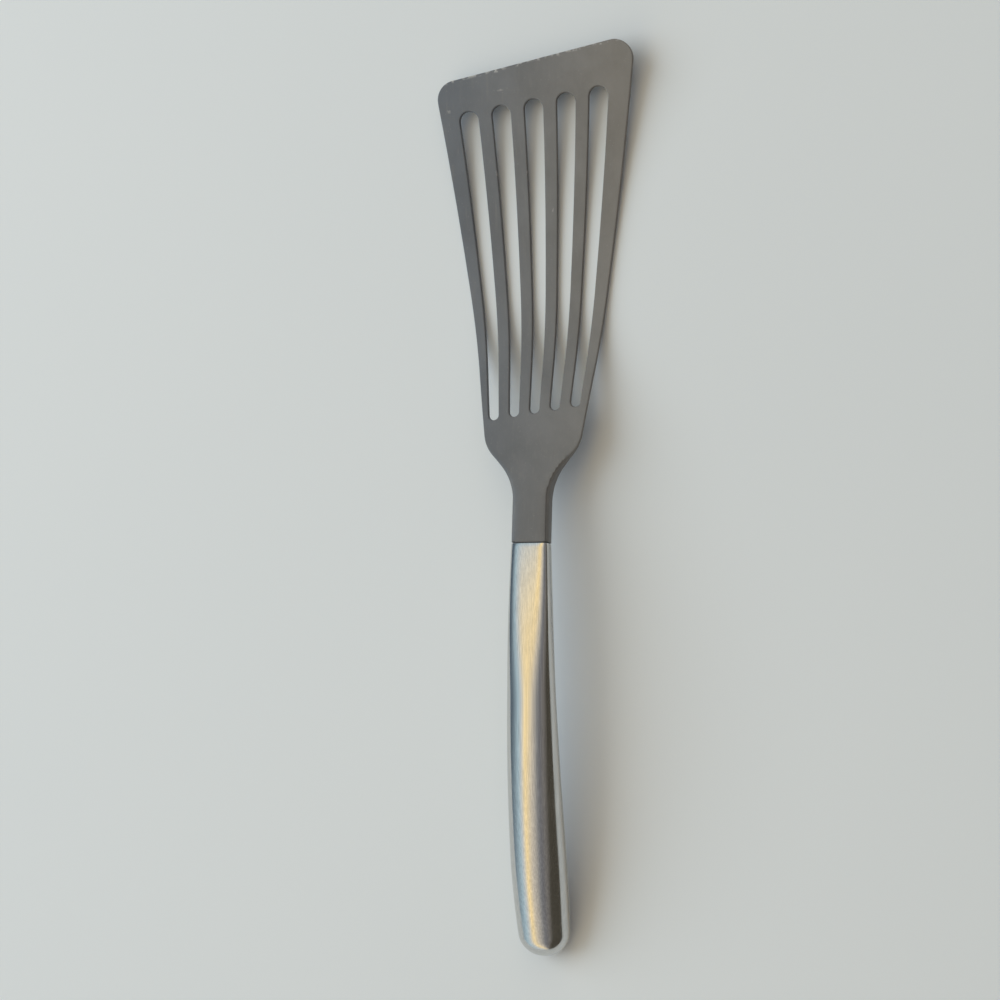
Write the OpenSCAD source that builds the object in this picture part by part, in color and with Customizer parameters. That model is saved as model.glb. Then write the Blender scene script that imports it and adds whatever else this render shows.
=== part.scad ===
// Fish spatula: a slotted nylon head on a hollow stainless steel handle.
// It lies face up, as it is put down: the bowed blade and the handle's closed end touch the ground.
// +Y runs from the handle towards the blade's front edge, +Z is up, and the origin is on the ground
// under the middle of the whole object. All sizes are in millimetres.

/* [Blade] */
// Length from the front edge to the shoulder, along the middle
blade_l = 138; // [120:1:160]
// Width between the two straight flanks, carried on to the front edge
blade_front_w = 76.5; // [66:0.5:86]
// Width where the flanks meet the shoulder
blade_heel_w = 36.5; // [34:0.5:40]
// Thickness of the blade
blade_t = 2.2; // [1.8:0.1:3]
// Slant of the front edge, higher on the right
front_slant = 11.3; // [0:0.1:16]
// Radius of the two front corners
corner_r = 7; // [4:0.5:10]
// Length of the bevel that thins the front edge
bevel_l = 8; // [4:0.5:12]
// Thickness left at the front edge
edge_t = 1; // [0.6:0.1:1.4]

/* [Slots] */
// Number of slots
slot_count = 5; // [3:1:5]
// Distance from the front edge to the slots, in the middle
front_band = 14; // [10:0.5:20]
// Distance from the slots to the shoulder, in the middle
heel_band = 8; // [6:0.5:14]
// Slant of the two rows of slot ends
slot_slant = 8.2; // [0:0.1:12]
// Width of a slot at its front end
slot_front_w = 7.2; // [5:0.1:8]
// Width of a slot at its heel end
slot_heel_w = 3.7; // [2:0.1:4.2]
// Distance between slots at their front ends
slot_front_pitch = 12.3; // [10:0.1:12.6]
// Distance between slots at their heel ends
slot_heel_pitch = 7.6; // [6:0.1:7.8]

/* [Side curve] */
// Distance from the front edge back to the middle of the stretch that lies on the ground
rest_back = 79.5; // [60:0.5:95]
// Length of that flat stretch
rest_l = 8; // [4:0.5:16]
// Radius of the blade's upward bow, in front of the flat stretch
bow_r = 370; // [250:5:800]
// Radius of the bow behind the flat stretch
heel_bow_r = 92; // [80:2:110]
// Steepest slope, where the bow turns into the handle's arch
rise_angle = 20.5; // [17:0.5:23]

/* [Shoulder and neck] */
// Angle of the shoulder from the length of the tool
shoulder_angle = 40; // [34:1:46]
// Radius of the outer shoulder corners
shoulder_r = 16; // [10:1:18]
// Radius of the hollow between shoulder and neck
throat_r = 18; // [10:1:20]
// Length of the straight neck
neck_l = 16; // [8:1:30]
// Width of the neck and of the handle's mouth
neck_w = 14; // [12:0.5:16]
// Thickness of the neck and of the handle's mouth
neck_t = 8; // [6.5:0.5:10]

/* [Handle] */
// Length from the mouth to the closed end
handle_l = 152; // [130:1:180]
// Greatest width
handle_w = 20.6; // [18:0.2:24]
// Greatest thickness
handle_t = 16.4; // [13:0.2:19]
// Distance from the mouth to the widest place
handle_full_l = 116; // [90:1:118]
// Width and thickness lost from there to the round of the closed end
handle_tail = 1.2; // [0:0.1:2]
// Length of the round of the closed end
dome_l = 10; // [7:0.5:12]
// Wall of the pressed shells
shell_t = 0.8; // [0.6:0.1:1.2]

/* [Inside] */
// Length of the nylon tenon inside the mouth
tenon_l = 18; // [12:1:26]
// Gap for the bond round the tenon
bond_gap = 0.05; // [0.02:0.01:0.1]
// Width of the steel strip
strip_w = 7; // [5:0.5:8]
// Thickness of the steel strip
strip_t = 1.5; // [1:0.1:2]
// How far the strip reaches into the neck from the mouth
strip_front_l = 20; // [12:1:24]
// How far the strip reaches into the handle past the tenon
strip_back_l = 28; // [16:1:40]
// Radius of the strip's key holes
key_r = 1.5; // [1:0.1:2]
// How far the resin goes on past the strip's end
resin_past = 4; // [2:0.5:8]

/* [Hidden] */

NYLON = [0.36, 0.36, 0.37];
STEEL = [0.75, 0.76, 0.78];
STRIP = [0.62, 0.64, 0.66];
RESIN = [0.82, 0.74, 0.52];

// Steps over half a section, along the neck, along the handle and round its closed end. An odd number
// over half a section keeps its corners off the middle of the strip and of its key holes.
HALF_STEPS = 17;
NECK_STEPS = 14;
HANDLE_STEPS = 22;
RESIN_STEPS = 6;
DOME_STEPS = 7;
// Steps round a slot end and a front corner
ARC_STEPS = 10;
// Share of the closed end's round at which it is finished with a small flat
DOME_STOP = 0.97;
// Squareness of a section: a high power is nearly a rectangle, 2 is an ellipse
BLADE_POWER = 24;
MOUTH_POWER = 5;
GRIP_POWER = 2.3;
// Share of the way from the shoulder to the neck at which the head starts to thicken
THICKEN_FROM = 0.15;
// How far a solid is sunk into the one that it joins
SINK = 2;
SINK_INSET = 0.3;
// How far tangent plates run on into each other
LAP = 0.2;
// Places of the key holes, as shares of the strip's length in the neck, in the tenon and in the resin
NECK_KEY = 0.6;
TENON_KEY = 0.5;
RESIN_KEYS = [0.35, 0.75];
// Fineness of a full turn of a bent plate and of a key hole
PLATE_FN = 360;
KEY_FN = 48;
// Reach of a cutting shape past what it cuts
OVER = 60;

// Places along the tool, with y counted forward from the middle of the flat stretch
front_y = rest_back;
shoulder_y = front_y-blade_l;

// Outline of the shoulder: a round corner, a straight run and a hollow, each tangent to the next
flank_angle = atan((blade_front_w-blade_heel_w)/2/blade_l);
corner_in = shoulder_r*(cos(flank_angle)-cos(shoulder_angle));
corner_back = shoulder_r*(sin(shoulder_angle)-sin(flank_angle));
throat_in = throat_r*(1-cos(shoulder_angle));
throat_back = throat_r*sin(shoulder_angle);
run_back = ((blade_heel_w-neck_w)/2-corner_in-throat_in)/tan(shoulder_angle);
neck_y = shoulder_y-corner_back-run_back-throat_back;
mouth_y = neck_y-neck_l;
dome_y = mouth_y-handle_l+dome_l;

// Side view, as [y, z] points. Each bow starts level at an end of the flat stretch. The one behind
// carries the blade's middle surface up to the turn, and from there one arch carries the centre line
// of the neck and handle down to the closed end. The neck thickens below, so its centre line starts
// under the blade's middle surface.
neck_drop = (neck_t-blade_t)/2;
dome_half_t = (handle_t-handle_tail)/2;
down_arch = [-sin(rise_angle), -cos(rise_angle)];
bow_c = [rest_l/2, bow_r];
heel_bow_c = [-rest_l/2, heel_bow_r];
arch_from = heel_bow_c+(heel_bow_r+neck_drop)*down_arch;
function arch_slope_at_end(to) =
    let(chord = arch_from-to) 2*atan(-chord[1]/chord[0])-rise_angle;
function reach_down(slope) = norm([dome_half_t*cos(slope), dome_l*sin(slope)]);
function reach_back(slope) = norm([dome_l*cos(slope), dome_half_t*sin(slope)]);
level_to = [dome_y, dome_half_t-blade_t/2];
arch_to = [dome_y, reach_down(arch_slope_at_end(level_to))-blade_t/2];
arch_chord = arch_to-arch_from;
arch_r = arch_chord*arch_chord/(2*(arch_chord*down_arch));
arch_c = arch_from+arch_r*down_arch;

// Angles on the arch are counted from its top towards the front
function on_arch(a, r) = arch_c+r*[sin(a), cos(a)];
function arch_a(y) = asin((y-arch_c[0])/arch_r);
function arch_step(l) = l/arch_r*180/PI;
shoulder_a = arch_a(shoulder_y);
mouth_a = arch_a(mouth_y);
tenon_a = mouth_a-arch_step(tenon_l);
dome_a = arch_a(dome_y);
strip_front_a = mouth_a+arch_step(strip_front_l);
strip_back_a = tenon_a-arch_step(strip_back_l);
resin_back_a = strip_back_a-arch_step(resin_past);
nylon_keys = [mix(mouth_a, strip_front_a, NECK_KEY), mix(mouth_a, tenon_a, TENON_KEY)];
resin_keys = [for (share = RESIN_KEYS) mix(tenon_a, strip_back_a, share)];

// Middle of each front corner's arc, side 1 on the right and -1 on the left
function front_corner(side) =
    let(rise = side*tan(front_slant), flare = tan(flank_angle),
        inset = corner_r*(flare/cos(front_slant)+1/cos(flank_angle)),
        x = (blade_front_w/2-inset)/(1-rise*flare))
    [side*x, front_y+x*rise-corner_r/cos(front_slant)];

// The origin is under the middle of the whole object
middle_x = (front_corner(1)[0]+front_corner(-1)[0])/2;
front_end = front_corner(1)[1]+corner_r;
back_end = dome_y-reach_back(dome_a);
middle_y = (front_end+back_end)/2;

function mix(a, b, t) = a+(b-a)*t;
function ease(t) = let(u = max(0, min(1, t))) u*u*(3-2*u);
function arc(c, r, from, to, n) = [for (i = [0:n]) let(a = mix(from, to, i/n)) c+r*[cos(a), sin(a)]];

// Half the width of the head at y, from the flank through the shoulder to the neck
function head_half_w(y) =
    let(back = shoulder_y-y, hollow = shoulder_y-neck_y-back)
    back <= 0 ? blade_heel_w/2-back*tan(flank_angle) :
    back <= corner_back ?
        blade_heel_w/2-shoulder_r*(cos(flank_angle)-cos(asin(sin(flank_angle)+back/shoulder_r))) :
    hollow >= throat_back ? blade_heel_w/2-corner_in-(back-corner_back)*tan(shoulder_angle) :
    hollow > 0 ? neck_w/2+throat_r*(1-cos(asin(hollow/throat_r))) :
    neck_w/2;

// Share of the way from the shoulder to the neck, and the head's thickness and squareness there
function shoulder_share(y) = (shoulder_y-y)/(shoulder_y-neck_y);
function head_t(y) = mix(blade_t, neck_t, ease((shoulder_share(y)-THICKEN_FROM)/(1-THICKEN_FROM)));
function head_power(y) = mix(BLADE_POWER, MOUTH_POWER, ease(shoulder_share(y)));

// Handle at a distance s behind the mouth: half its width, half its thickness and its squareness
function swell(s) =
    let(t = min(1, s/handle_full_l), tail = max(0, s-handle_full_l)/(mouth_y-dome_y-handle_full_l))
    [(t+sin(90*t))/2, tail*tail];
function handle_half(mouth, full, s) = let(k = swell(s)) mix(mouth/2, full/2, k[0])-handle_tail/2*k[1];
function handle_half_w(s) = handle_half(neck_w, handle_w, s);
function handle_half_t(s) = handle_half(neck_t, handle_t, s);
function handle_power(s) = mix(MOUTH_POWER, GRIP_POWER, ease(s/(handle_full_l/2)));

// Point of a section at angle a, and rings of such points stood square to the arch.
// The section is shrunk by a wall thickness, and by the round of the closed end.
function edge_point(half_w, half_t, power, a) =
    [half_w*sign(cos(a))*pow(abs(cos(a)), 2/power), half_t*sign(sin(a))*pow(abs(sin(a)), 2/power)];
function stand(points, a, r) = [for (p = points) let(q = on_arch(a, r+p[1])) [p[0], q[0], q[1]]];
function section(half_w, half_t, power, from, to, n) =
    [for (i = [0:n]) edge_point(half_w, half_t, power, mix(from, to, i/n))];
function whole_section(half_w, half_t, power) =
    [for (i = [0:2*HALF_STEPS-1]) edge_point(half_w, half_t, power, 180*i/HALF_STEPS)];

function behind_mouth(a) = mouth_y-on_arch(a, arch_r)[0];
function handle_section(s, wall, shrink, from, to) =
    section((handle_half_w(s)-wall)*shrink, (handle_half_t(s)-wall)*shrink, handle_power(s),
        from, to, HALF_STEPS);
// Half rings of one skin of the handle, from the mouth to the tip, on one side of the seam
function skin(wall, from, to) = concat(
    [for (i = [0:HANDLE_STEPS]) let(a = mix(mouth_a, dome_a, i/HANDLE_STEPS))
        stand(handle_section(behind_mouth(a), wall, 1, from, to), a, arch_r)],
    [for (i = [1:DOME_STEPS]) let(turn = 90*DOME_STOP*i/DOME_STEPS)
        stand(handle_section(mouth_y-dome_y, wall, cos(turn), from, to),
            dome_a-arch_step((dome_l-wall)*sin(turn)), arch_r)]);

// Two triangles between points j and k of the rings that start at a and b
function wall_faces(a, b, j, k) = [[a+j, b+j, a+k], [a+k, b+j, b+k]];

function walls(rings, n) =
    [for (i = [0:len(rings)-2], j = [0:n-1]) each wall_faces(i*n, (i+1)*n, j, (j+1)%n)];

// Solid through closed rings of equally many points, running backwards
module loft(rings) {
    n = len(rings[0]);
    last = (len(rings)-1)*n;
    ends = [[for (j = [0:n-1]) j], [for (j = [n-1:-1:0]) last+j]];
    polyhedron([for (ring = rings) each ring], concat(ends, walls(rings, n)));
}

// The same for rings whose first half is an outer skin and whose second half runs back along an inner
// one. At the last ring each skin has its own face, and one along the seam joins them.
module hollow_loft(rings) {
    n = len(rings[0]);
    last = (len(rings)-1)*n;
    front = [for (j = [0:n/2-2]) each [[j, j+1, n-2-j], [j, n-2-j, n-1-j]]];
    tips = [[for (j = [n/2-1:-1:0]) last+j], [for (j = [n-1:-1:n/2]) last+j]];
    seam = [[last+n-1, last+n/2, last+n/2-1, last]];
    polyhedron([for (ring = rings) each ring], concat(front, walls(rings, n), tips, seam));
}

// One pressed half of the handle, from angle from to angle to of the section
module half_shell(from, to) {
    outer = skin(0, from, to);
    inner = skin(shell_t, to, from);
    hollow_loft([for (i = [0:len(outer)-1]) concat(outer[i], inner[i])]);
}

// Plate bent round an axle along x at c in the side view, from one angle to another below the axle
module bent_plate(c, r, t, w, from, to) {
    translate([0, c[0], c[1]]) rotate([0, 90, 0]) rotate([0, 0, from])
        rotate_extrude(angle = to-from, $fn = PLATE_FN) translate([r-t/2, -w/2]) square([t, w]);
}

// Flat outline of the blade, seen from above, carried on past the shoulder
module blade_outline() {
    heel = shoulder_y-OVER/4;
    polygon(concat(
        [[-head_half_w(shoulder_y), heel], [head_half_w(shoulder_y), heel],
            [head_half_w(shoulder_y), shoulder_y]],
        arc(front_corner(1), corner_r, -flank_angle, 90+front_slant, ARC_STEPS),
        arc(front_corner(-1), corner_r, 90+front_slant, 180+flank_angle, ARC_STEPS),
        [[-head_half_w(shoulder_y), shoulder_y]]));
}

// Slot with round ends, wider in front; place is counted in slots from the middle one
module slot_outline(place) {
    front_x = place*slot_front_pitch;
    heel_x = place*slot_heel_pitch;
    front_r = slot_front_w/2;
    heel_r = slot_heel_w/2;
    front = [front_x, front_y-front_band-front_r+front_x*tan(slot_slant)];
    heel = [heel_x, shoulder_y+heel_band+heel_r+heel_x*tan(slot_slant)];
    along = atan2(front[1]-heel[1], front[0]-heel[0]);
    side = 90+asin((front_r-heel_r)/norm(front-heel));
    polygon(concat(
        arc(front, front_r, along-side, along+side, 2*ARC_STEPS),
        arc(heel, heel_r, along+side, along+360-side, 2*ARC_STEPS)));
}

// Wedge that bevels the top of the front edge, parallel to the edge and to the bowed surface there
module edge_bevel() {
    slope = asin((front_y-bow_c[0])/bow_r);
    translate([0, front_y, bow_r*(1-cos(slope))]) rotate([slope, 0, 0])
        rotate([0, 0, atan(tan(front_slant)*cos(slope))])
        translate([-OVER, -bevel_l, blade_t/2]) rotate([-atan((blade_t-edge_t)/bevel_l), 0, 0])
        cube([2*OVER, bevel_l+OVER, OVER]);
}

// The slotted blade as far back as the shoulder
module slotted_plate() {
    reach = asin((front_y+OVER/2)/bow_r);
    difference() {
        intersection() {
            union() {
                bent_plate(bow_c, bow_r, blade_t, 2*OVER, 0, reach);
                translate([-OVER, -rest_l/2-LAP, -blade_t/2]) cube([2*OVER, rest_l+2*LAP, blade_t]);
                bent_plate(heel_bow_c, heel_bow_r, blade_t, 2*OVER, -rise_angle, 0);
                bent_plate(arch_c, arch_r+neck_drop, blade_t, 2*OVER,
                    180-rise_angle-arch_step(LAP), 180-shoulder_a);
            }
            translate([0, 0, -OVER]) linear_extrude(2*OVER) blade_outline();
        }
        translate([0, 0, -OVER]) linear_extrude(2*OVER)
            for (i = [0:slot_count-1]) slot_outline(i-(slot_count-1)/2);
        edge_bevel();
    }
}

// Shoulder, neck and tenon. The top runs on from the blade, and the thickness grows below.
module neck_and_tenon() {
    top_r = arch_r+neck_t/2;
    tenon_half_w = neck_w/2-shell_t-bond_gap;
    tenon_half_t = neck_t/2-shell_t-bond_gap;
    head = [for (i = [0:NECK_STEPS])
        let(a = mix(shoulder_a, mouth_a, i/NECK_STEPS), y = on_arch(a, arch_r)[0])
        stand(whole_section(head_half_w(y), head_t(y)/2, head_power(y)), a, top_r-head_t(y)/2)];
    root = stand(whole_section(blade_heel_w/2-SINK_INSET, blade_t/2-SINK_INSET, BLADE_POWER),
        shoulder_a+arch_step(SINK), arch_r+neck_drop);
    tenon = [for (a = [mouth_a, tenon_a])
        stand(whole_section(tenon_half_w, tenon_half_t, MOUTH_POWER), a, arch_r)];
    loft(concat([root], head, tenon));
}

module blade() {
    color(NYLON) laid() {
        difference() {
            union() {
                slotted_plate();
                neck_and_tenon();
            }
            strip_plate();
        }
        keys(nylon_keys);
    }
}

// Steel strip on the neck's centre line, with two key holes in the nylon and two in the resin
module strip_plate() {
    bent_plate(arch_c, arch_r, strip_t, strip_w, 180-strip_front_a, 180-strip_back_a);
}

module keys(angles) {
    for (a = angles)
        translate([0, arch_c[0], arch_c[1]]) rotate([-a, 0, 0]) translate([0, 0, arch_r-strip_t])
            cylinder(r = key_r, h = 2*strip_t, $fn = KEY_FN);
}

module strip() {
    difference() {
        strip_plate();
        keys(concat(nylon_keys, resin_keys));
    }
}

module core_strip() {
    color(STRIP) laid() strip();
}

module handle_top_shell() {
    color(STEEL) laid() half_shell(0, 180);
}

module handle_bottom_shell() {
    color(STEEL) laid() half_shell(180, 360);
}

// Resin that fills the handle behind the tenon and holds the strip's end
module resin_fill() {
    color(RESIN) laid() {
        difference() {
            loft([for (i = [0:RESIN_STEPS])
                let(a = mix(tenon_a, resin_back_a, i/RESIN_STEPS), s = behind_mouth(a))
                stand(whole_section(handle_half_w(s)-shell_t, handle_half_t(s)-shell_t, handle_power(s)),
                    a, arch_r)]);
            strip_plate();
        }
        keys(resin_keys);
    }
}

// Sets the object on the ground over the origin
module laid() {
    translate([-middle_x, -middle_y, blade_t/2]) children();
}

blade();
core_strip();
handle_top_shell();
handle_bottom_shell();
resin_fill();
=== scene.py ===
"""Dresses the fish spatula: a worn nylon head and a satin stainless handle, seen from above."""
import math

import bmesh
import bpy
from mathutils import Matrix, Vector


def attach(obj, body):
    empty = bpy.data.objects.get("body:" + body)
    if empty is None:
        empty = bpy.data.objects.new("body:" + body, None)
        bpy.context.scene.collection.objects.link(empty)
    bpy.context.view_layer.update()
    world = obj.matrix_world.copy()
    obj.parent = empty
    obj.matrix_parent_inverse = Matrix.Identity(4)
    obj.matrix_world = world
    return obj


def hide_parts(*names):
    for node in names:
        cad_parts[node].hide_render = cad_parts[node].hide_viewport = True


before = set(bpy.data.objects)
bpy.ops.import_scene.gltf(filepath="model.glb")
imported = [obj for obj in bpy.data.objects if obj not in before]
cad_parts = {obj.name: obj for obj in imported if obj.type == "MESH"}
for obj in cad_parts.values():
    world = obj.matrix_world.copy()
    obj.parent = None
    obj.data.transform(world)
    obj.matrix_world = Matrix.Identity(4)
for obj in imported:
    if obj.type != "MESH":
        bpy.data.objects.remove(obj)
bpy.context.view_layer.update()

MM = 0.001

# Sizes of the nylon head, in millimetres, as in the part's source
BLADE_L, BLADE_FRONT_W, BLADE_HEEL_W, BLADE_T = 138, 76.5, 36.5, 2.2
FRONT_SLANT, CORNER_R, BEVEL_L, EDGE_T = math.radians(11.3), 7, 8, 1
SLOT_COUNT, FRONT_BAND, HEEL_BAND, SLOT_SLANT = 5, 14, 8, math.radians(8.2)
SLOT_FRONT_W, SLOT_HEEL_W, SLOT_FRONT_PITCH, SLOT_HEEL_PITCH = 7.2, 3.7, 12.3, 7.6
REST_BACK, REST_L, BOW_R, HEEL_BOW_R, RISE = 79.5, 8, 370, 92, math.radians(20.5)
SHOULDER_ANGLE, SHOULDER_R, THROAT_R = math.radians(40), 16, 18
NECK_L, NECK_W, NECK_T = 16, 14, 8
TENON_L, BOND_GAP = 18, 0.05

# Sizes of the handle
HANDLE_L, HANDLE_W, HANDLE_T, HANDLE_FULL_L, HANDLE_TAIL = 152, 20.6, 16.4, 116, 1.2
DOME_L, SHELL_T = 10, 0.8
BLADE_POWER, MOUTH_POWER, GRIP_POWER, THICKEN_FROM = 24, 5, 2.3, 0.15

# Roundings that only show close up
EDGE_ROUND = 0.4
RIM_ROUND = 0.28
GROOVE_L = 0.5
GROOVE_TURN = 0.8 * GROOVE_L

# Fineness of the meshes
ROUND_STEPS = 4
WALL_STEPS = 4
CORNER_STEPS = 16
SLOT_END_STEPS = 14
TENON_STEPS = 8
OUTLINE_STEP = 1.0
CUT_STEP = 1.5
NECK_CUT_STEP = 1.0
HALF_STEPS = 40
HANDLE_STEPS = 110
DOME_STEPS = 16
DOME_STOP = 0.985

# Shares of the way to the neck in which the section turns round, and in which it stands up on the arch
ROUND_WITHIN = 1 / 6
STAND_WITHIN = 1 / 2
TINY = 1e-9

# Places along the tool, counted from the middle of the stretch that lies on the ground
front_y = REST_BACK
shoulder_y = front_y - BLADE_L
flank = math.atan((BLADE_FRONT_W - BLADE_HEEL_W) / 2 / BLADE_L)
corner_in = SHOULDER_R * (math.cos(flank) - math.cos(SHOULDER_ANGLE))
corner_back = SHOULDER_R * (math.sin(SHOULDER_ANGLE) - math.sin(flank))
throat_in = THROAT_R * (1 - math.cos(SHOULDER_ANGLE))
throat_back = THROAT_R * math.sin(SHOULDER_ANGLE)
run_back = ((BLADE_HEEL_W - NECK_W) / 2 - corner_in - throat_in) / math.tan(SHOULDER_ANGLE)
neck_y = shoulder_y - corner_back - run_back - throat_back
mouth_y = neck_y - NECK_L
dome_y = mouth_y - HANDLE_L + DOME_L

# Side view: the arch that carries the neck and the handle
neck_drop = (NECK_T - BLADE_T) / 2
dome_half_t = (HANDLE_T - HANDLE_TAIL) / 2
turn_y = -REST_L / 2 - HEEL_BOW_R * math.sin(RISE)
turn_z = HEEL_BOW_R * (1 - math.cos(RISE))
arch_from = Vector((turn_y - neck_drop * math.sin(RISE), turn_z - neck_drop * math.cos(RISE)))
level_z = dome_half_t - BLADE_T / 2
end_slope = 2 * math.atan(-(arch_from.y - level_z) / (arch_from.x - dome_y)) - RISE
reach_down = math.hypot(dome_half_t * math.cos(end_slope), DOME_L * math.sin(end_slope))
chord = Vector((dome_y, reach_down - BLADE_T / 2)) - arch_from
down_arch = Vector((-math.sin(RISE), -math.cos(RISE)))
arch_r = chord.dot(chord) / (2 * chord.dot(down_arch))
arch_c = arch_from + arch_r * down_arch


def mix(a, b, t):
    return a + (b - a) * t


def ease(t):
    t = max(0.0, min(1.0, t))
    return t * t * (3 - 2 * t)


def arch_angle(y):
    return math.asin((y - arch_c.x) / arch_r)


mouth_a = arch_angle(mouth_y)
dome_a = arch_angle(dome_y)


def front_corner(side):
    """Middle of a front corner's round, side 1 on the right and -1 on the left."""
    rise, flare = side * math.tan(FRONT_SLANT), math.tan(flank)
    inset = CORNER_R * (flare / math.cos(FRONT_SLANT) + 1 / math.cos(flank))
    x = (BLADE_FRONT_W / 2 - inset) / (1 - rise * flare)
    return Vector((side * x, front_y + x * rise - CORNER_R / math.cos(FRONT_SLANT)))


middle_x = (front_corner(1).x + front_corner(-1).x) / 2
back_end = dome_y - math.hypot(DOME_L * math.cos(dome_a), dome_half_t * math.sin(dome_a))
middle_y = (front_corner(1).y + CORNER_R + back_end) / 2


def laid(x, y, z):
    """A point of the source's own layout, in metres in the shared frame."""
    return Vector((x - middle_x, y - middle_y, z + BLADE_T / 2)) * MM


def arc(centre, r, a0, a1, steps):
    return [centre + r * Vector((math.cos(a), math.sin(a)))
            for a in (mix(a0, a1, i / steps) for i in range(steps + 1))]


def head_half_w(y):
    """Half the head's width at y, from the flank through shoulder and neck to the tenon."""
    back = shoulder_y - y
    hollow = shoulder_y - neck_y - back
    if back <= 0:
        return BLADE_HEEL_W / 2 - back * math.tan(flank)
    if back <= corner_back:
        turned = math.asin(math.sin(flank) + back / SHOULDER_R)
        return BLADE_HEEL_W / 2 - SHOULDER_R * (math.cos(flank) - math.cos(turned))
    if hollow >= throat_back:
        return BLADE_HEEL_W / 2 - corner_in - (back - corner_back) * math.tan(SHOULDER_ANGLE)
    if hollow > 0:
        return NECK_W / 2 + THROAT_R * (1 - math.cos(math.asin(hollow / THROAT_R)))
    return NECK_W / 2 - (SHELL_T + BOND_GAP) * groove_share(y)


def groove_share(y):
    """0 on the neck and 1 on the tenon, turning in just before the handle's mouth."""
    return ease((mouth_y + GROOVE_L - y) / GROOVE_TURN)


def shoulder_share(y):
    return (shoulder_y - y) / (shoulder_y - neck_y)


def head_half_t(y):
    share = ease((shoulder_share(y) - THICKEN_FROM) / (1 - THICKEN_FROM))
    return mix(BLADE_T, NECK_T, share) / 2 - (SHELL_T + BOND_GAP) * groove_share(y)


def plate_height(y):
    """Height and slope of the blade's middle surface at y."""
    if y >= REST_L / 2:
        a = math.asin((y - REST_L / 2) / BOW_R)
        return BOW_R * (1 - math.cos(a)), a
    if y >= -REST_L / 2:
        return 0.0, 0.0
    if y >= turn_y:
        a = math.asin((y + REST_L / 2) / HEEL_BOW_R)
        return HEEL_BOW_R * (1 - math.cos(a)), a
    r = arch_r + neck_drop
    a = math.asin((y - arch_c.x) / r)
    return arch_c.y + r * math.cos(a), a


def head_point(x, y, z):
    """Bends a flat head: z runs from -BLADE_T/2 to BLADE_T/2 through its thickness."""
    height, slope = plate_height(y)
    to_edge = (front_y + x * math.tan(FRONT_SLANT) - y) * math.cos(FRONT_SLANT)
    thin = mix(EDGE_T / BLADE_T, 1, min(1.0, max(0.0, to_edge / BEVEL_L)))
    plate_z = -BLADE_T / 2 + (z + BLADE_T / 2) * thin
    flat = Vector((x, y, height + plate_z / math.cos(slope)))
    if y >= shoulder_y:
        return flat
    half_w, half_t, share = head_half_w(y), head_half_t(y), ease(shoulder_share(y))
    u, v = x / half_w, 2 * z / BLADE_T
    power = mix(BLADE_POWER, MOUTH_POWER, share)
    reach = max(abs(u), abs(v))
    round_off = reach / (abs(u) ** power + abs(v) ** power) ** (1 / power) if reach > TINY else 1
    round_off = mix(1, round_off, ease(shoulder_share(y) / ROUND_WITHIN))
    a = arch_angle(y)
    centre_r = arch_r + (NECK_T / 2 - head_half_t(y) if y > mouth_y + GROOVE_L else 0)
    r = centre_r + v * half_t * round_off
    stood = Vector((x * round_off, arch_c.x + r * math.sin(a), arch_c.y + r * math.cos(a)))
    return flat.lerp(stood, ease(shoulder_share(y) / STAND_WITHIN))


def head_outline():
    """The head seen from above, anticlockwise from the tenon's right-hand end."""
    end_y = mouth_y - TENON_L
    stations = [mix(end_y, mouth_y, i / TENON_STEPS) for i in range(TENON_STEPS)]
    stations += [mouth_y + GROOVE_L * i / TENON_STEPS for i in range(TENON_STEPS + 1)]
    y = stations[-1] + OUTLINE_STEP / 2
    while y < shoulder_y:
        stations.append(y)
        y += OUTLINE_STEP
    right = [Vector((head_half_w(y), y)) for y in stations + [shoulder_y]]
    left = [Vector((-p.x, p.y)) for p in reversed(right)]
    turn = math.pi / 2 + FRONT_SLANT
    return (right + arc(front_corner(1), CORNER_R, -flank, turn, CORNER_STEPS)
            + arc(front_corner(-1), CORNER_R, turn, math.pi + flank, CORNER_STEPS) + left)


def slot_outline(place):
    """A slot seen from above, clockwise; place is counted from the middle slot."""
    front_r, heel_r = SLOT_FRONT_W / 2, SLOT_HEEL_W / 2
    front_x, heel_x = place * SLOT_FRONT_PITCH, place * SLOT_HEEL_PITCH
    front = Vector((front_x, front_y - FRONT_BAND - front_r + front_x * math.tan(SLOT_SLANT)))
    heel = Vector((heel_x, shoulder_y + HEEL_BAND + heel_r + heel_x * math.tan(SLOT_SLANT)))
    along = math.atan2(front.y - heel.y, front.x - heel.x)
    side = math.pi / 2 + math.asin((front_r - heel_r) / (front - heel).length)
    points = (arc(front, front_r, along - side, along + side, SLOT_END_STEPS)
              + arc(heel, heel_r, along + side, along + 2 * math.pi - side, SLOT_END_STEPS))
    return points[::-1]


def inward(loop):
    """Unit normals of a closed loop, pointing left of its direction, into the nylon."""
    normals = []
    for i, p in enumerate(loop):
        d = (loop[(i + 1) % len(loop)] - loop[i - 1]).normalized()
        normals.append(Vector((-d.y, d.x)))
    return normals


def edge_levels():
    """(inset, height) from the underside round the edge to the top."""
    r, half = EDGE_ROUND, BLADE_T / 2
    turns = [math.pi / 2 * i / ROUND_STEPS for i in range(ROUND_STEPS + 1)]
    under = [(r * (1 - math.sin(a)), -half + r * (1 - math.cos(a))) for a in turns]
    walls = [(0, mix(-half + r, half - r, i / WALL_STEPS)) for i in range(1, WALL_STEPS)]
    return under + walls + [(inset, -z) for inset, z in reversed(under)]


def without_doubles(loop):
    return [p for i, p in enumerate(loop) if (p - loop[i - 1]).length > 1e-4]


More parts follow.
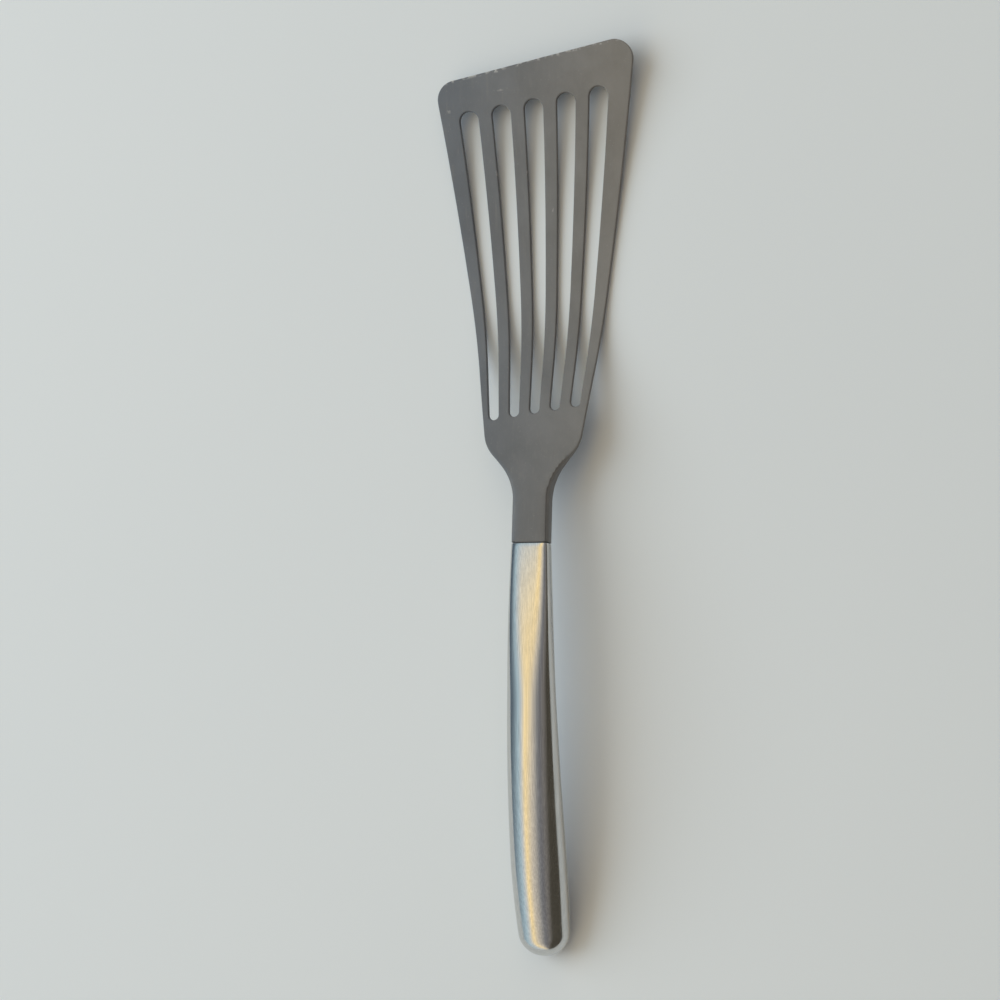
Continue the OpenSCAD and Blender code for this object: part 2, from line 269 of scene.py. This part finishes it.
def make_mesh(name, bm):
    bmesh.ops.recalc_face_normals(bm, faces=bm.faces)
    for face in bm.faces:
        face.smooth = True
    mesh = bpy.data.meshes.new(name)
    bm.to_mesh(mesh)
    bm.free()
    piece = bpy.data.objects.new(name, mesh)
    bpy.context.scene.collection.objects.link(piece)
    return piece


def cut_across(bm, faces, axis, at):
    around = {v for f in faces for v in f.verts} | {e for f in faces for e in f.edges}
    point, normal = Vector((0, 0, 0)), Vector((0, 0, 0))
    point[axis], normal[axis] = at, 1
    bmesh.ops.bisect_plane(bm, geom=list(around) + list(faces), plane_co=point, plane_no=normal, dist=1e-5)


def make_head():
    """The nylon head: a flat plate with round edges, cut fine along and across, then bent."""
    bm = bmesh.new()
    loops = [head_outline()] + [slot_outline(i - (SLOT_COUNT - 1) / 2) for i in range(SLOT_COUNT)]
    top, bottom = [], []
    for loop in map(without_doubles, loops):
        normals = inward(loop)
        rings = [[bm.verts.new((*(p + inset * n), z)) for p, n in zip(loop, normals)]
                 for inset, z in edge_levels()]
        for low, high in zip(rings, rings[1:]):
            for i in range(len(loop)):
                bm.faces.new((low[i - 1], low[i], high[i], high[i - 1]))
        bottom += [bm.edges.get((rings[0][i - 1], rings[0][i])) for i in range(len(loop))]
        top += [bm.edges.get((rings[-1][i - 1], rings[-1][i])) for i in range(len(loop))]
    for edges in (bottom, top):
        bmesh.ops.triangle_fill(bm, edges=edges, use_beauty=True)
    y = mouth_y - TENON_L + CUT_STEP
    while y < front_corner(1).y + CORNER_R:
        cut_across(bm, list(bm.faces), 1, y)
        y += CUT_STEP
    cuts = round(BLADE_HEEL_W / 2 / NECK_CUT_STEP)
    for i in range(-cuts, cuts + 1):
        near = [f for f in bm.faces if f.calc_center_median().y < shoulder_y + CUT_STEP]
        cut_across(bm, near, 0, i * NECK_CUT_STEP)
    for v in bm.verts:
        v.co = laid(*head_point(*v.co))
    bmesh.ops.triangulate(bm, faces=[f for f in bm.faces if len(f.verts) > 4])
    head = make_mesh("nylon_head", bm)
    head.modifiers.new("even_shading", "WEIGHTED_NORMAL").keep_sharp = True
    return head


def handle_half(mouth, full, s):
    """Half a handle size at s behind the mouth."""
    t = min(1, s / HANDLE_FULL_L)
    tail = max(0, s - HANDLE_FULL_L) / (mouth_y - dome_y - HANDLE_FULL_L)
    return mix(mouth / 2, full / 2, (t + math.sin(math.pi / 2 * t)) / 2) - HANDLE_TAIL / 2 * tail * tail


def handle_ring(section_a, at, inset, shrink, a0, a1):
    """Half a section of the size at angle section_a, stood square to the arch at angle at."""
    s = min(mouth_y - arch_c.x - arch_r * math.sin(section_a), mouth_y - dome_y)
    half_w = (handle_half(NECK_W, HANDLE_W, s) - inset) * shrink
    half_t = (handle_half(NECK_T, HANDLE_T, s) - inset) * shrink
    power = mix(MOUTH_POWER, GRIP_POWER, ease(s / (HANDLE_FULL_L / 2)))
    ring = []
    for i in range(HALF_STEPS + 1):
        turn = mix(a0, a1, i / HALF_STEPS)
        aside, up = (0 if abs(v) < TINY else v for v in (math.cos(turn), math.sin(turn)))
        x = math.copysign(abs(aside) ** (2 / power), aside) * half_w
        r = arch_r + math.copysign(abs(up) ** (2 / power), up) * half_t
        ring.append(laid(x, arch_c.x + r * math.sin(at), arch_c.y + r * math.cos(at)))
    return ring


def handle_stations():
    """(angle on the arch, inset of the rounded rim, how far the dome has turned) from mouth to tip."""
    rows = []
    for i in range(ROUND_STEPS + 1):
        turn = math.pi / 2 * i / ROUND_STEPS
        back, inset = RIM_ROUND * (1 - math.cos(turn)), RIM_ROUND * (1 - math.sin(turn))
        rows.append((mouth_a - back / arch_r, inset, 0))
    rim_a = rows[-1][0]
    rows += [(mix(rim_a, dome_a, i / HANDLE_STEPS), 0, 0) for i in range(1, HANDLE_STEPS + 1)]
    rows += [(dome_a, 0, math.pi / 2 * DOME_STOP * i / DOME_STEPS) for i in range(1, DOME_STEPS + 1)]
    return rows


def make_shell(name, a0, a1):
    """One pressed half of the handle, with its wall, its rounded rim and its half of the tip."""
    bm = bmesh.new()
    loops = []
    for section_a, rim, dome in handle_stations():
        skins = []
        for wall, inset in ((0, rim), (SHELL_T, SHELL_T - rim)):
            at = section_a - (DOME_L - wall) * math.sin(dome) / arch_r
            ring = handle_ring(section_a, at, inset, math.cos(dome), a0, a1)
            skins.append([bm.verts.new(p) for p in ring])
        loops.append(skins)
    for (outer_0, inner_0), (outer_1, inner_1) in zip(loops, loops[1:]):
        for i in range(HALF_STEPS):
            bm.faces.new((outer_0[i], outer_0[i + 1], outer_1[i + 1], outer_1[i]))
            bm.faces.new((inner_0[i], inner_1[i], inner_1[i + 1], inner_0[i + 1]))
        for i in (0, HALF_STEPS):
            bm.faces.new((outer_0[i], outer_1[i], inner_1[i], inner_0[i]))
    outer, inner = loops[0]
    for i in range(HALF_STEPS):
        bm.faces.new((outer[i], inner[i], inner[i + 1], outer[i + 1]))
    for skin in loops[-1]:
        bm.faces.new(skin)
    outer, inner = loops[-1]
    bm.faces.new((outer[0], outer[-1], inner[-1], inner[0]))
    return make_mesh(name, bm)


class Nodes:
    """A short way to write a material's nodes."""

    def __init__(self, name):
        self.material = bpy.data.materials.new(name)
        self.material.use_nodes = True
        self.tree = self.material.node_tree
        self.shader = self.tree.nodes["Principled BSDF"]
        self.place = self.add("ShaderNodeTexCoord").outputs["Object"]

    def add(self, kind, links=None, **settings):
        node = self.tree.nodes.new(kind)
        for key, value in settings.items():
            setattr(node, key, value)
        for key, value in (links or {}).items():
            if isinstance(value, bpy.types.NodeSocket):
                self.tree.links.new(value, node.inputs[key])
            else:
                node.inputs[key].default_value = value
        return node

    def math(self, operation, a, b=0.0, clamp=False):
        return self.add("ShaderNodeMath", {0: a, 1: b}, operation=operation, use_clamp=clamp).outputs[0]

    def scaled(self, x, y, z, turn=0.0):
        """The piece's own place, stretched, with features 1 / scale metres long."""
        node = self.add("ShaderNodeMapping", {"Vector": self.place, "Scale": (x, y, z)})
        node.inputs["Rotation"].default_value = (0, 0, turn)
        return node.outputs[0]

    def noise(self, vector, detail=2.0, rough=0.5, scale=1.0):
        return self.add("ShaderNodeTexNoise", {"Vector": vector, "Scale": scale, "Detail": detail,
                                               "Roughness": rough}).outputs["Fac"]

    def span(self, value, low, high, to_low=0.0, to_high=1.0):
        return self.add("ShaderNodeMapRange", {"Value": value, "From Min": low, "From Max": high,
                                               "To Min": to_low, "To Max": to_high}).outputs["Result"]

    def blend(self, share, a, b):
        node = self.add("ShaderNodeMix", data_type="RGBA")
        for socket, value in ((0, share), (6, a), (7, b)):
            if isinstance(value, bpy.types.NodeSocket):
                self.tree.links.new(value, node.inputs[socket])
            else:
                node.inputs[socket].default_value = value
        return node.outputs[2]

    def bump(self, height, strength, distance, onto=None):
        links = {"Height": height, "Strength": strength, "Distance": distance}
        if onto is not None:
            links["Normal"] = onto
        return self.add("ShaderNodeBump", links).outputs[0]

    def link(self, **sockets):
        for name, value in sockets.items():
            self.tree.links.new(value, self.shader.inputs[name.replace("_", " ")])

    def set(self, **values):
        for name, value in values.items():
            self.shader.inputs[name.replace("_", " ")].default_value = value


# Scuffs on the nylon, in millimetres: x from the blade's axis, y from the middle of the tool, half
# length, half width, and the turn in radians
SCUFFS = [(-31.6, 144.6, 1.6, 1.1, 0.4), (6.0, 106.5, 1.6, 0.5, 1.3), (-14.6, 121.0, 0.9, 1.4, 0.2),
          (-3.3, 121.6, 2.2, 0.5, 1.2), (19.6, 105.8, 1.6, 0.8, 0.3), (35.0, 74.5, 4.6, 1.5, 1.3),
          (24.3, 41.5, 3.4, 0.9, 1.1), (27.0, 37.5, 1.8, 0.9, 0.2), (32.5, 36.0, 1.8, 0.8, 1.4),
          (-11.5, 151.5, 2.5, 0.5, 0.2)]


def nylon_material():
    """Nylon with a fine grain, mottled, nicked along its front, with a painted reflection that makes it
    greyer and bluer on the left and warmer on the right.
    """
    n = Nodes("worn_nylon")
    x, y = n.add("ShaderNodeSeparateXYZ", {0: n.place}).outputs[:2]
    grain = n.noise(n.scaled(4200, 4200, 4200), 3, 0.6)
    mottle = n.noise(n.scaled(60, 45, 60), 4, 0.6)
    rubbed = n.noise(n.scaled(900, 60, 900, 0.05), 3, 0.6)
    flecks = n.noise(n.scaled(1500, 1300, 1500), 2, 0.5)
    slant = n.math("MULTIPLY", n.math("ADD", x, middle_x * MM), math.tan(FRONT_SLANT))
    edge = n.math("SUBTRACT", n.math("ADD", slant, (front_y - middle_y) * MM), y)
    ragged = n.math("ADD", edge, n.span(n.noise(n.scaled(260, 260, 260), 3), 0, 1, -0.0012, 0.0012))
    near_edge = n.span(ragged, 0.0012, 0.0)
    chips = n.math("MULTIPLY", near_edge, n.span(n.noise(n.scaled(560, 560, 560), 2), 0.52, 0.60))
    scuffs = 0.0
    for sx, sy, length, width, turn in SCUFFS:
        offset = n.add("ShaderNodeMapping", {"Vector": n.place}, vector_type="TEXTURE")
        offset.inputs["Location"].default_value = ((sx - middle_x) * MM, sy * MM, 0)
        offset.inputs["Rotation"].default_value = (0, 0, turn)
        offset.inputs["Scale"].default_value = (length * MM, width * MM, 1)
        away = n.add("ShaderNodeVectorMath", {0: offset.outputs[0]}, operation="LENGTH").outputs["Value"]
        scuffs = n.math("ADD", scuffs, n.span(away, 1.0, 0.35), clamp=True)
    scuffs = n.math("MULTIPLY", scuffs, n.span(n.noise(n.scaled(1100, 700, 1100), 3), 0.45, 0.62))
    # Painted reflection: the base colour runs from a bluish grey on the left to a warm grey on the right,
    # standing in for the blue window and the warm lamp seen in the nylon's sheen.
    painted_sheen_tint = n.span(x, -0.030, 0.030)
    dark = n.blend(painted_sheen_tint, (0.112, 0.124, 0.145, 1), (0.180, 0.168, 0.156, 1))
    light = n.blend(painted_sheen_tint, (0.144, 0.157, 0.180, 1), (0.225, 0.210, 0.196, 1))
    colour = n.blend(n.span(mottle, 0.35, 0.65), dark, light)
    colour = n.blend(n.math("MULTIPLY", n.span(rubbed, 0.55, 0.75), 0.35), colour, (0.215, 0.205, 0.198, 1))
    colour = n.blend(n.math("MULTIPLY", n.span(flecks, 0.66, 0.74), 0.35), colour, (0.28, 0.27, 0.26, 1))
    colour = n.blend(n.math("MULTIPLY", scuffs, 0.55), colour, (0.42, 0.40, 0.38, 1))
    colour = n.blend(n.math("MULTIPLY", chips, 0.75), colour, (0.55, 0.54, 0.52, 1))
    rough = n.math("ADD", n.span(mottle, 0.3, 0.7, 0.40, 0.52), n.math("MULTIPLY", scuffs, 0.15))
    normal = n.bump(grain, 0.35, 0.00006)
    normal = n.bump(n.math("ADD", chips, scuffs), 0.4, 0.00008, normal)
    n.link(Base_Color=colour, Roughness=rough, Normal=normal)
    return n.material


def handle_material():
    """Stainless steel polished along its length: fine streaks, faint smudges and hairlines."""
    n = Nodes("satin_stainless")
    streaks = n.noise(n.scaled(2600, 16, 2600), 4, 0.65)
    broad = n.noise(n.scaled(420, 7, 420), 3, 0.55)
    hairs = n.noise(n.scaled(5200, 30, 5200, 0.01), 2, 0.5)
    smudge = n.noise(n.scaled(55, 30, 55), 3, 0.55)
    colour = n.blend(n.span(streaks, 0.3, 0.7), (0.52, 0.52, 0.515, 1), (0.72, 0.715, 0.70, 1))
    colour = n.blend(n.math("MULTIPLY", n.span(hairs, 0.66, 0.76), 0.5), colour, (0.30, 0.295, 0.285, 1))
    rough = n.math("ADD", n.span(broad, 0.3, 0.7, 0.09, 0.16), n.span(smudge, 0.4, 0.7, 0.0, 0.06))
    normal = n.bump(streaks, 0.10, 0.00003)
    n.link(Base_Color=colour, Roughness=rough, Normal=normal)
    n.set(Metallic=1.0)
    return n.material


def strip_material():
    """Rolled steel strip: dull, with faint rolling lines."""
    n = Nodes("rolled_strip")
    lines = n.noise(n.scaled(1800, 25, 1800), 3)
    colour = n.blend(lines, (0.45, 0.46, 0.48, 1), (0.62, 0.63, 0.65, 1))
    rough = n.span(lines, 0.3, 0.7, 0.35, 0.5)
    n.link(Base_Color=colour, Roughness=rough, Normal=n.bump(lines, 0.15, 0.00003))
    n.set(Metallic=1.0)
    return n.material


def resin_material():
    """Cast resin, amber, with clouded patches."""
    n = Nodes("cast_resin")
    cloud = n.noise(n.scaled(140, 140, 140), 4)
    colour = n.blend(n.span(cloud, 0.35, 0.65), (0.62, 0.47, 0.22, 1), (0.78, 0.68, 0.42, 1))
    rough = n.span(cloud, 0.3, 0.7, 0.2, 0.4)
    n.link(Base_Color=colour, Roughness=rough, Normal=n.bump(cloud, 0.2, 0.0001))
    return n.material


def floor_material():
    """A plain pale tabletop."""
    n = Nodes("pale_floor")
    tone = n.noise(n.scaled(3, 3, 3), 3)
    colour = n.blend(tone, (0.74, 0.77, 0.80, 1), (0.78, 0.80, 0.82, 1))
    n.link(Base_Color=colour, Roughness=n.span(tone, 0, 1, 0.85, 0.95))
    return n.material


# Half the floor's width, and how far it lies below the tool so that their surfaces don't meet
FLOOR_REACH = 12
FLOOR_GAP = 0.00005


def make_floor():
    bm = bmesh.new()
    bmesh.ops.create_grid(bm, x_segments=8, y_segments=8, size=FLOOR_REACH)
    floor = make_mesh("floor", bm)
    floor.location.z = -FLOOR_GAP
    floor.data.materials.append(floor_material())


# The camera as worked out from the photograph: to the right of the tool and nearly above it
CAMERA_TILT = math.radians(13.5)
CAMERA_ROLL = math.radians(-0.807)
CAMERA_AWAY = 1.1
CAMERA_LENS = 107.37
SENSOR = 36.0
LOOKED_AT = Vector((-15.3, 0.2, 8.0)) * MM


def make_camera():
    back = Vector((math.sin(CAMERA_TILT), 0, math.cos(CAMERA_TILT)))
    right = Vector((0, 1, 0)).cross(back)
    up = back.cross(right)
    turned_right = math.cos(CAMERA_ROLL) * right + math.sin(CAMERA_ROLL) * up
    turned_up = math.cos(CAMERA_ROLL) * up - math.sin(CAMERA_ROLL) * right
    data = bpy.data.cameras.new("camera")
    data.sensor_width, data.lens = SENSOR, CAMERA_LENS
    camera = bpy.data.objects.new("camera", data)
    bpy.context.scene.collection.objects.link(camera)
    turn = Matrix((turned_right, turned_up, back)).transposed().to_4x4()
    camera.matrix_world = Matrix.Translation(LOOKED_AT + CAMERA_AWAY * back) @ turn
    bpy.context.scene.camera = camera


def add_lamp(name, place, size, power, colour):
    """A soft rectangular lamp that faces the middle of the tool."""
    data = bpy.data.lights.new(name, "AREA")
    data.shape, data.energy, data.color = "RECTANGLE", power, colour
    data.size, data.size_y = size
    lamp = bpy.data.objects.new(name, data)
    lamp.location = place
    lamp.rotation_euler = Vector(place).to_track_quat("Z", "Y").to_euler()
    bpy.context.scene.collection.objects.link(lamp)
    return lamp


# The room from the left horizon over the top to the right one: how far across, and the light there.
# A low dark wall, two steps of window sky, a warm lamp, a pale wall, a grey one, its two shades, and
# a dark corner. Such bands are what a polished handle mirrors along its length.
ROOM_BANDS = [(0.03, (0.15, 0.20, 0.25)), (0.20, (0.65, 0.85, 0.95)), (0.28, (0.95, 1.00, 1.00)),
              (0.37, (1.70, 1.30, 0.65)), (0.48, (1.00, 0.90, 0.75)), (0.60, (0.40, 0.40, 0.40)),
              (0.68, (0.25, 0.25, 0.27)), (0.82, (0.30, 0.28, 0.26)), (0.95, (0.10, 0.09, 0.07))]
ROOM_LEVEL = 0.85
# How far the bands lean to the right towards the end of the room that the blade points at
BAND_LEAN = 0.25
WINDOW_PLACE, WINDOW_SIZE = (-1.5, 0.35, 1.3), (1.8, 1.8)
WINDOW_POWER, WINDOW_COLOUR = 26, (0.86, 0.95, 1.0)


def light_room():
    """A soft window on the left, and a room whose bands of light run along the tool."""
    window = add_lamp("window", WINDOW_PLACE, WINDOW_SIZE, WINDOW_POWER, WINDOW_COLOUR)
    window.visible_glossy = False
    world = bpy.data.worlds.new("room")
    bpy.context.scene.world = world
    world.use_nodes = True
    tree = world.node_tree
    links = tree.links

    def math_node(operation, a, b):
        node = tree.nodes.new("ShaderNodeMath")
        node.operation = operation
        for socket, value in zip(node.inputs, (a, b)):
            if isinstance(value, float):
                socket.default_value = value
            else:
                links.new(value, socket)
        return node.outputs[0]

    direction = tree.nodes.new("ShaderNodeTexCoord").outputs["Generated"]
    split = tree.nodes.new("ShaderNodeSeparateXYZ")
    links.new(direction, split.inputs[0])
    x, y, z = split.outputs
    squares = math_node("ADD", math_node("MULTIPLY", x, x), math_node("MULTIPLY", z, z))
    across = math_node("DIVIDE", x, math_node("SQRT", squares, 0.0))
    leaned = math_node("SUBTRACT", across, math_node("MULTIPLY", y, 2 * BAND_LEAN))
    share = math_node("ADD", math_node("MULTIPLY", leaned, 0.5), 0.5)
    ramp = tree.nodes.new("ShaderNodeValToRGB")
    elements = ramp.color_ramp.elements
    while len(elements) < len(ROOM_BANDS):
        elements.new(0.5)
    for element, (at, colour) in zip(elements, ROOM_BANDS):
        element.position, element.color = at, (*colour, 1)
    links.new(share, ramp.inputs[0])
    links.new(ramp.outputs[0], tree.nodes["Background"].inputs["Color"])
    tree.nodes["Background"].inputs["Strength"].default_value = ROOM_LEVEL


make_camera()

head = make_head()
head.data.materials.append(nylon_material())
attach(head, "root")
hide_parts("blade")

steel = handle_material()
for name, node, a0, a1 in (("handle_upper_half", "handle_top_shell", 0, math.pi),
                           ("handle_lower_half", "handle_bottom_shell", math.pi, 2 * math.pi)):
    shell = make_shell(name, a0, a1)
    shell.data.materials.append(steel)
    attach(shell, "root")
    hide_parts(node)

for node, material in (("core_strip", strip_material()), ("resin_fill", resin_material())):
    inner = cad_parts[node]
    inner.data.materials.clear()
    inner.data.materials.append(material)

make_floor()
light_room()
bpy.context.scene.view_settings.view_transform = "Standard"
